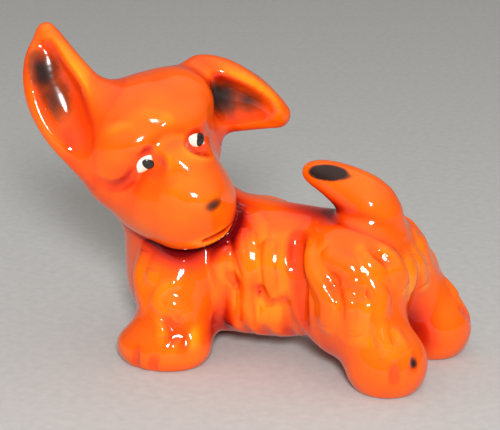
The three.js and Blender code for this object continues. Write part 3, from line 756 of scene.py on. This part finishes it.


# %% [markdown]
# The glaze is thin on crests, where it shows a yellower orange, and thick in hollows, where it is a deep
# red. The same colour also carries painted light and shade: crests are lightened as if lit, and hollows,
# creases, the places under the muzzle and between the pieces are darkened towards a near black red as
# painted shade. How hollow a place is can be felt by standing a stick on the skin and asking how far its tip
# is
# from the whole figure: less than its own length means that something is close around it. A crest is felt
# the same way by a pin pressed in, whose tip is still near the skin where the clay is thin. The answer is
# kept on the mesh as an attribute, which the glaze reads later.

# %% Hollows, painted light and shade, and normals
STICKS = [0.8, 2.0, 4.5, 9.0]
PINS = [1.2, 2.4]
FLAT_HOLLOW, CREST_LIGHT_SHARE = 0.25, 0.6
NECK_BLEND = 1.5 * MM
NORMAL_REACH = 0.04 * MM

figure = melt([head, *ears.values()], EAR_BLEND)
figure = melt([figure, whole_body], NECK_BLEND)


# Painted light and shade: a high value darkens the glaze in hollows, creases and under the muzzle, a low one
# lightens it on crests.
def hollow_shade_at(places, normals):
    def from_skin(stick):
        tips = places + normals * stick * MM
        return (figure["depth"](tips) - coat(tips)) / (stick * MM)

    hollow = sum(np.clip(1 - from_skin(stick), 0, 1) for stick in STICKS) / len(STICKS)
    crest_light = sum(np.clip(1 - from_skin(-stick), 0, 1) for stick in PINS) / len(PINS)
    return np.clip(FLAT_HOLLOW + hollow - CREST_LIGHT_SHARE * crest_light, 0, 1)


def finish_mesh(piece, depth):
    places = places_of(piece)
    normals = slope_of(depth, places, NORMAL_REACH)
    normals /= np.maximum(np.linalg.norm(normals, axis=1, keepdims=True), TINY)
    piece.data.shade_smooth()
    piece.data.normals_split_custom_set_from_vertices(normals.tolist())
    # This attribute steers the painted shade and painted light in the glaze colour.
    hollow = piece.data.attributes.new("hollow", "FLOAT", "POINT")
    hollow.data.foreach_set("value", hollow_shade_at(places, normals).astype(np.float32))


def cast(name, clay, grain, swell=0.0):
    """One piece of clay as a finished mesh that replaces its CAD node."""
    grain = grain * GRAIN_SCALE * MM
    piece = bead_mesh(name + "_skin", clay["beads"], swell)
    knead(piece, ROUGH_GRAIN * grain)
    if clay["cuts"]:
        carve(piece, clay["cuts"], ROUGH_GRAIN * grain)
    lay_on(piece, stand(clay["depth"]), 8, 1.5 * MM)
    knead(piece, grain)
    spread(piece, 2)
    skin = stand(clay["depth"], coat)
    lay_on(piece, skin, 5, 0.6 * MM)
    finish_mesh(piece, skin)
    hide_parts(name)
    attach(piece, "root")
    low, high = places_of(piece).min(axis=0) / MM, places_of(piece).max(axis=0) / MM
    print(name, len(piece.data.polygons), "faces, from", np.round(low, 1), "to", np.round(high, 1), "mm")
    return piece


# %% [markdown]
# ## Casting the pieces
#
# The torso and the head are the large castings. Legs, tail and ears are luted on, so each of them gets
# a fillet that runs out over the piece that carries it. The head sits in the neck the same way.

# %% Cast the clay
clay_pieces = [cast("torso", torso, 0.55)]
clay_pieces.append(cast("head", seat_on(head, body, HEAD_FILLET), 0.4, CRISP_BLEND))
for name, leg in legs.items():
    clay_pieces.append(cast(name, seat_on(leg, body, LEG_BLEND), 0.45, LEG_BLEND))
clay_pieces.append(cast("tail", seat_on(tail, body, TAIL_BLEND), 0.4, TAIL_BLEND))
for name, ear in ears.items():
    clay_pieces.append(cast(name, seat_on(ear, head, EAR_BLEND), 0.35, CRISP_BLEND))

# %% [markdown]
# ## The eyes
#
# The eyes are dabs of thick enamel: a white almond, tilted along the brow, and a black pupil on it. An
# icosphere is flattened, its corners are drawn in to make the almond, and it is laid on a jig that stands
# on the head's skin. The table gives each eye's place on the head, its tilt and the places of its dabs.

# %% Eye jigs
EYE_SIZES = [0.8 * MM, 6 * MM, 4 * MM]
EYES = {
    "right": ([0, -0.314, -0.076], 2.2, [0, 0, 0], [0.6, 0.1, -0.15]),
    "left": ([0, 0.155, -0.039], -1, [0, -0.06, -0.04], [0.6, 0.07, 0.06]),
}
DROOP = math.radians(26)
HALVINGS = 40
SOCKET_REACH = 0.4 * MM


def make_eye_jig(place, droop):
    start, forward = point_on(head_jig, place), head_jig["directions"][0]
    low, high = 0.0, head_jig["sizes"][0]
    for _ in range(HALVINGS):
        middle = (low + high) / 2
        inside = head["depth"]((start + forward * middle)[None, :])[0] < 0
        low, high = (middle, high) if inside else (low, middle)
    origin = start + forward * low
    out = slope_of(head["depth"], origin[None, :], SOCKET_REACH)[0]
    out /= np.linalg.norm(out)
    along = np.cross([0, 0, 1], out)
    along = Matrix.Rotation(droop * DROOP, 3, Vector(out)) @ Vector(along / np.linalg.norm(along))
    return make_jig(origin, [out, np.array(along), np.cross(out, along)], EYE_SIZES)


eye_jigs = {side: make_eye_jig(place, droop) for side, (place, droop, _, _) in EYES.items()}

# %% [markdown]
# A dab is rounder in the middle and thins out to its edge, as enamel does when it dries. The white is
# pinched towards its two corners and the pupil is a plain oval.

# %% Dabs of enamel
WHITE_SIZE = (0.8 * MM, 2.9 * MM, 1.75 * MM)
PUPIL_SIZE = (0.6 * MM, 1.3 * MM, 1.65 * MM)
WHITE_PINCH, PUPIL_PINCH = 0.8, 0.0


def dab(name, jig, place, size, pinch):
    bm = bmesh.new()
    bmesh.ops.create_icosphere(bm, subdivisions=5, radius=1)
    for vert in bm.verts:
        vert.co.z *= 1 - pinch + pinch * math.sqrt(max(1 - vert.co.y**2, 0))
    turn = Matrix(jig["directions"].tolist()).transposed().to_4x4()
    lie = Matrix.Translation(point_on(jig, place)) @ turn @ Matrix.Diagonal((*size, 1))
    bmesh.ops.transform(bm, matrix=lie, verts=bm.verts)
    mesh = bpy.data.meshes.new(name + "_dab")
    bm.to_mesh(mesh)
    bm.free()
    mesh.shade_smooth()
    piece = bpy.data.objects.new(name + "_dab", mesh)
    bpy.context.scene.collection.objects.link(piece)
    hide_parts(name)
    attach(piece, "root")
    return piece


whites, pupils = [], []
for side, (_, _, white_place, pupil_place) in EYES.items():
    jig = eye_jigs[side]
    whites.append(dab(side + "_eye_white", jig, white_place, WHITE_SIZE, WHITE_PINCH))
    pupils.append(dab(side + "_pupil", jig, pupil_place, PUPIL_SIZE, PUPIL_PINCH))
print("eyes", [piece.name for piece in whites + pupils])

# %% [markdown]
# ## The glaze
#
# The glaze is a glossy coloured glass over the clay. Its colour runs from a yellow orange on the crests,
# through orange, to a deep red in the hollows, which the hollow attribute steers. That is partly the
# glaze's own thickness and partly painted light on the crests and painted shade in the hollows and under
# the muzzle. Slow noise on Object coordinates makes it uneven, as a brushed glaze is, and a faint bump
# gives the slight waviness of a fired surface. The soles have no glaze and show buff clay.

# %% Node helpers


def new_material(name):
    material = bpy.data.materials.new(name)
    material.use_nodes = True
    nodes, links = material.node_tree.nodes, material.node_tree.links
    return material, nodes, links, nodes["Principled BSDF"]


def noise(nodes, links, coords, scale):
    texture = nodes.new("ShaderNodeTexNoise")
    texture.inputs["Scale"].default_value = scale
    texture.inputs["Detail"].default_value = 2
    links.new(coords.outputs["Object"], texture.inputs["Vector"])
    return texture.outputs["Fac"]


def ramp(nodes, links, source, stops):
    node = nodes.new("ShaderNodeValToRGB")
    colours = node.color_ramp.elements
    while len(colours) < len(stops):
        colours.new(0.5)
    for element, (place, colour) in zip(colours, stops):
        element.position = place
        element.color = (*colour, 1)
    links.new(source, node.inputs["Fac"])
    return node.outputs["Color"]


def blend_in(nodes, links, share, under, over):
    node = nodes.new("ShaderNodeMix")
    node.data_type = "RGBA"
    links.new(share, node.inputs["Factor"])
    links.new(under, node.inputs["A"])
    node.inputs["B"].default_value = (*over, 1)
    return node.outputs["Result"]


def between(nodes, links, value, low, high, at_low=0.0, at_high=1.0):
    node = nodes.new("ShaderNodeMapRange")
    node.interpolation_type = "SMOOTHSTEP"
    node.inputs["From Min"].default_value = low
    node.inputs["From Max"].default_value = high
    node.inputs["To Min"].default_value = at_low
    node.inputs["To Max"].default_value = at_high
    links.new(value, node.inputs["Value"])
    return node.outputs["Result"]


def combine(nodes, links, operation, a, b):
    node = nodes.new("ShaderNodeMath")
    node.operation = operation
    for value, socket in ((a, node.inputs[0]), (b, node.inputs[1])):
        if isinstance(value, float):
            socket.default_value = value
        else:
            links.new(value, socket)
    return node.outputs["Value"]


# %% [markdown]
# The black is sprayed on before the last firing, so its edge is soft. A patch is an egg again: a Mapping
# node in texture mode turns Object coordinates into the egg's own, their length is one on its skin, and a
# smooth step fades the colour out there. Fine noise on the length makes the edge ragged. Each patch has a
# place, three directions, three radii in millimetres and the width of its soft edge.

# %% Sprayed patches
SPRAY_RAGGED = 0.3
SPRAY_END = 1.15


def place_in(jig, place):
    return point_on(jig, place), jig["directions"]


def sprayed(nodes, links, coords, centre, directions, radii, soft):
    mapping = nodes.new("ShaderNodeMapping")
    mapping.vector_type = "TEXTURE"
    turn = Matrix(directions.tolist()).transposed()
    mapping.inputs["Location"].default_value = centre
    mapping.inputs["Rotation"].default_value = turn.to_euler("XYZ")
    mapping.inputs["Scale"].default_value = [radius * MM for radius in radii]
    links.new(coords.outputs["Object"], mapping.inputs["Vector"])
    length = nodes.new("ShaderNodeVectorMath")
    length.operation = "LENGTH"
    links.new(mapping.outputs["Vector"], length.inputs[0])
    uneven = combine(nodes, links, "MULTIPLY", noise(nodes, links, coords, 350.0), SPRAY_RAGGED)
    ragged = combine(nodes, links, "ADD", uneven, length.outputs["Value"])
    return between(nodes, links, ragged, SPRAY_END, SPRAY_END - soft)


EAR_SPRAYS = [
    (*place_in(ear_jigs["right_ear"], (0.63, 0.17, 0.2)), (10, 6.5, 5), 1.0),
    (*place_in(ear_jigs["right_ear"], (0.42, 0.13, 0.2)), (11, 6, 5), 1.0),
    (*place_in(ear_jigs["left_ear"], (0.26, 0.1, 0.2)), (10, 7.5, 5), 0.95),
    (*place_in(ear_jigs["left_ear"], (0.48, 0.12, 0.2)), (10.5, 6.5, 5), 1.4),
]
SPRAYS = [
    (*place_in(head_jig, (0.655, -0.01, -0.345)), (4.8, 3.8, 2.6), 1.1),
    (*place_in(tail_jig, (-0.66, -0.28, 1.06)), (6.6, 2.9, 2.3), 0.35),
    # The third patch darkens a small spot in the toe crease of the left hind paw.
    ((46.8 * MM, -15.3 * MM, 9.2 * MM), np.eye(3), (1.8, 1.8, 2.4), 0.9),
]


def all_sprayed(nodes, links, coords, sprays):
    black = sprayed(nodes, links, coords, *sprays[0])
    for spray in sprays[1:]:
        black = combine(nodes, links, "MAXIMUM", black, sprayed(nodes, links, coords, *spray))
    return black


# %% [markdown]
# The glaze's colour comes from a ramp over the hollow attribute, with a slow drift on it. The ramp
# paints light on the crests and shade in the hollows, over the glaze's own orange. The sprayed black is
# laid over that, brown where the spray thins out, and the level bottoms of the paws are left bare. A
# painted image could do the same, but nodes need none and stay sharp from close by.

# %% The glaze material
# The yellow end is partly painted light on crests; the darkest stops are painted shade in hollows, creases
# and under the muzzle.
GLAZE_AND_SHADE_STOPS = [
    (0.08, (0.95, 0.24, 0.003)),
    (0.25, (0.9, 0.115, 0.002)),
    (0.42, (0.76, 0.05, 0.002)),
    (0.6, (0.5, 0.015, 0.002)),
    (0.85, (0.14, 0.002, 0.003)),
]
THIN_SPRAY, FULL_SPRAY = (0.22, 0.03, 0.004), (0.012, 0.01, 0.009)
BUFF_CLAY = (0.55, 0.38, 0.24)
SOLE_TOP, SOLE_LOW = 0.25 * MM, 0.05 * MM


# The glaze's orange with painted light on crests and painted shade in hollows.
def glaze_and_shade_colour(nodes, links, coords):
    hollow = nodes.new("ShaderNodeAttribute")
    hollow.attribute_name = "hollow"
    drift = combine(nodes, links, "SUBTRACT", noise(nodes, links, coords, 60.0), 0.5)
    drift = combine(nodes, links, "MULTIPLY", drift, 0.25)
    return ramp(nodes, links, combine(nodes, links, "ADD", hollow.outputs["Fac"], drift), GLAZE_AND_SHADE_STOPS)


def make_glaze():
    material, nodes, links, shader = new_material("orange_glaze")
    coords = nodes.new("ShaderNodeTexCoord")
    colour = glaze_and_shade_colour(nodes, links, coords)
    ear_black = all_sprayed(nodes, links, coords, EAR_SPRAYS)
    black = combine(nodes, links, "MAXIMUM", ear_black, all_sprayed(nodes, links, coords, SPRAYS))
    thin = between(nodes, links, black, 0.0, 0.6, 0.0, 0.75)
    colour = blend_in(nodes, links, thin, colour, THIN_SPRAY)
    full = between(nodes, links, black, 0.25, 0.95, 0.0, 0.97)
    colour = blend_in(nodes, links, full, colour, FULL_SPRAY)
    height = nodes.new("ShaderNodeSeparateXYZ")
    links.new(coords.outputs["Object"], height.inputs["Vector"])
    bare = between(nodes, links, height.outputs["Z"], SOLE_TOP, SOLE_LOW)
    links.new(blend_in(nodes, links, bare, colour, BUFF_CLAY), shader.inputs["Base Color"])
    matt = combine(nodes, links, "MAXIMUM", bare, between(nodes, links, ear_black, 0.2, 0.9, 0.0, 0.32))
    links.new(between(nodes, links, matt, 0.0, 1.0, 0.09, 0.8), shader.inputs["Roughness"])
    shader.inputs["IOR"].default_value = 1.44
    bump = nodes.new("ShaderNodeBump")
    bump.inputs["Strength"].default_value = 0.12
    bump.inputs["Distance"].default_value = 0.4 * MM
    links.new(noise(nodes, links, coords, 220.0), bump.inputs["Height"])
    links.new(bump.outputs["Normal"], shader.inputs["Normal"])
    return material


# One material with the glaze's orange, its painted shade and its painted light, for all clay pieces.
orange_glaze = make_glaze()
for piece in clay_pieces:
    piece.data.materials.append(orange_glaze)

# %% [markdown]
# ## The enamels
#
# The white is thick and a little uneven, with a warm tint where the orange bleeds into it. The black is
# a plain glossy dab. Both have slight brush marks, which slow noise on the roughness stands for.

# %% White and black enamel


def make_enamel(name, light, dark, roughness):
    material, nodes, links, shader = new_material(name)
    coords = nodes.new("ShaderNodeTexCoord")
    patchy = noise(nodes, links, coords, 700.0)
    links.new(ramp(nodes, links, patchy, [(0.35, dark), (0.65, light)]), shader.inputs["Base Color"])
    links.new(between(nodes, links, patchy, 0.3, 0.7, roughness, roughness * 1.6), shader.inputs["Roughness"])
    return material


white_enamel = make_enamel("white_enamel", (0.87, 0.83, 0.74), (0.74, 0.64, 0.5), 0.16)
black_enamel = make_enamel("black_enamel", (0.012, 0.011, 0.01), (0.03, 0.026, 0.022), 0.14)
for piece in whites:
    piece.data.materials.append(white_enamel)
for piece in pupils:
    piece.data.materials.append(black_enamel)

# %% [markdown]
# ## The floor
#
# The floor is a plain pale sheet of paper that sweeps up behind the figure, so that no horizon shows. A
# grid's far edge is extruded upwards, and the corner that this makes is bevelled into a wide curve.

# %% The floor
FLOOR_HALF, FLOOR_RISE, FLOOR_BEND = 1.5, 2, 0.6
AZIMUTH, ELEVATION = math.radians(23), math.radians(18)
PAPER = [(0.3, (0.44, 0.44, 0.43)), (0.7, (0.48, 0.48, 0.47))]


def make_floor():
    bm = bmesh.new()
    bmesh.ops.create_grid(bm, x_segments=1, y_segments=1, size=FLOOR_HALF)
    far = [edge for edge in bm.edges if all(vert.co.y > 1 for vert in edge.verts)]
    raised = bmesh.ops.extrude_edge_only(bm, edges=far)["geom"]
    raised = [item for item in raised if isinstance(item, bmesh.types.BMVert)]
    bmesh.ops.translate(bm, verts=raised, vec=(0, 0, FLOOR_RISE))
    bend = [edge for edge in bm.edges if all(vert.co.y > 1 and vert.co.z < 1 for vert in edge.verts)]
    rounding = {"offset": FLOOR_BEND, "segments": 12, "profile": 0.5, "affect": "EDGES", "material": -1}
    bmesh.ops.bevel(bm, geom=bend, **rounding)
    bmesh.ops.rotate(bm, verts=bm.verts, matrix=Matrix.Rotation(AZIMUTH, 3, "Z"))
    mesh = bpy.data.meshes.new("floor")
    bm.to_mesh(mesh)
    bm.free()
    mesh.shade_smooth()
    floor = bpy.data.objects.new("floor", mesh)
    bpy.context.scene.collection.objects.link(floor)
    material, nodes, links, shader = new_material("pale_paper")
    coords = nodes.new("ShaderNodeTexCoord")
    links.new(ramp(nodes, links, noise(nodes, links, coords, 400.0), PAPER), shader.inputs["Base Color"])
    shader.inputs["Roughness"].default_value = 0.9
    mesh.materials.append(material)
    return floor


print("floor", make_floor().name)

# %% [markdown]
# ## The camera
#
# The camera has a long lens and stands where the photograph was taken from: turned 23 degrees from square
# on, and looking down 18 degrees on the dog's left side. Three directions, right, back and up, are worked
# out from the two angles, because the light is placed with them too.

# %% The camera
CAMERA_DISTANCE, SENSOR_WIDTH, LENS = 0.42, 36, 126
TARGET = Vector((0, -10.5 * MM, 38 * MM)) - Vector(MIDDLE)
right = Vector((math.cos(AZIMUTH), math.sin(AZIMUTH), 0))
level = math.cos(ELEVATION)
back = Vector((math.sin(AZIMUTH) * level, -math.cos(AZIMUTH) * level, math.sin(ELEVATION)))
up = back.cross(right)


def standing(direction_to_it, distance):
    """A matrix for something that stands in a direction from the target and faces it."""
    away = direction_to_it.normalized()
    side = Vector((0, 0, 1)).cross(away).normalized()
    turn = Matrix((side, away.cross(side), away)).transposed().to_4x4()
    return Matrix.Translation(TARGET + away * distance) @ turn


lens = bpy.data.cameras.new("camera")
lens.sensor_width = SENSOR_WIDTH
lens.lens = LENS
camera = bpy.data.objects.new("camera", lens)
camera.matrix_world = standing(back, CAMERA_DISTANCE)
bpy.context.scene.collection.objects.link(camera)
bpy.context.scene.camera = camera
print("camera", [round(value, 4) for value in camera.matrix_world.translation])

# %% [markdown]
# ## The light
#
# The glaze is glossy, so its highlights show how large the light is and where it stands. One softbox just
# above the camera gives small bright highlights on every crest. A second lamp would double them, so the
# shadows are filled by a sky that only grows brighter towards the top.

# %% The light
KEY_ABOVE, KEY_ASIDE, KEY_DISTANCE, KEY_SIZE, KEY_POWER = 0.16, 0.04, 0.8, 0.14, 8
SKY_LOW, SKY_HIGH = 0.12, 0.8

light = bpy.data.lights.new("key", "AREA")
light.shape = "SQUARE"
light.size = KEY_SIZE
light.energy = KEY_POWER
key = bpy.data.objects.new("key", light)
key.matrix_world = standing(back + KEY_ABOVE * up + KEY_ASIDE * right, KEY_DISTANCE)
bpy.context.scene.collection.objects.link(key)

world = bpy.data.worlds.new("studio")
world.use_nodes = True
nodes, links = world.node_tree.nodes, world.node_tree.links
sky = nodes["Background"]
sky.inputs["Color"].default_value = (1, 0.96, 0.92, 1)
direction = nodes.new("ShaderNodeTexCoord")
height = nodes.new("ShaderNodeSeparateXYZ")
links.new(direction.outputs["Generated"], height.inputs["Vector"])
links.new(between(nodes, links, height.outputs["Z"], 0.1, 1.0, SKY_LOW, SKY_HIGH), sky.inputs["Strength"])
bpy.context.scene.world = world
bpy.context.scene.view_settings.view_transform = "Standard"
print("light", light.energy, "W, sky from", SKY_LOW, "to", SKY_HIGH)
